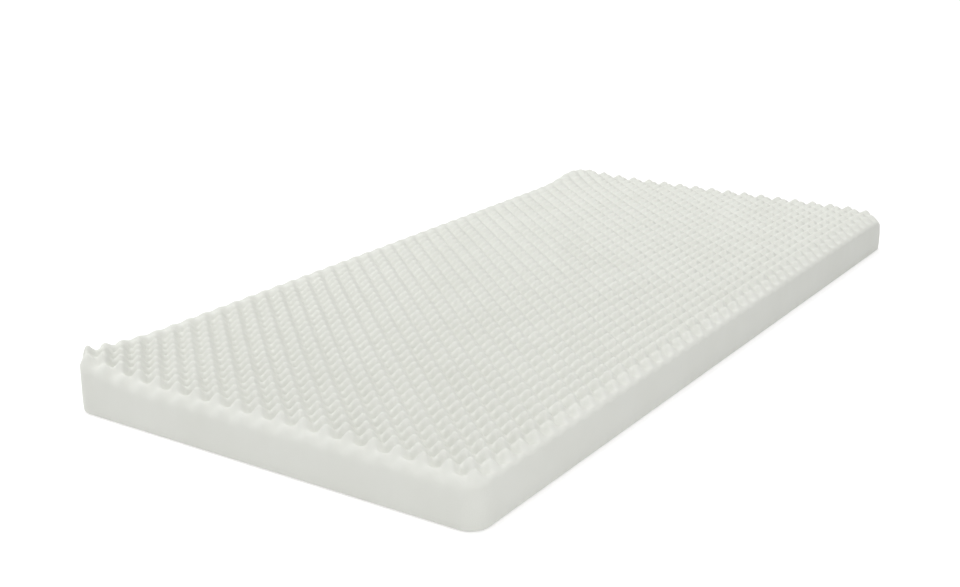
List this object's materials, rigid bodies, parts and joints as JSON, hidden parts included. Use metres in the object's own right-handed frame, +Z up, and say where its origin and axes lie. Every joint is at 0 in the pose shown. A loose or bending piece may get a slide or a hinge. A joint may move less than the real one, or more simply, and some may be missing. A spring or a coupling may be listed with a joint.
{
  "type": "roll-up mattress",
  "caption": "Roll-up foam mattress lying flat: one off-white slab with an egg-crate top of staggered soft peaks, plain upright sides and rounded corners.",
  "frame": {"origin": "middle of the flat underside, on the surface that the mattress lies on", "axes": "+X across the width, +Y along the length, +Z up through the egg-crate top"},
  "size_m": [0.9, 1.9, 0.1197],
  "materials": {
    "foam": "off-white soft open-cell foam, matt, with very fine pores"
  },
  "bodies": {
    "root": {"mattress": "foam"}
  },
  "joints": []
}
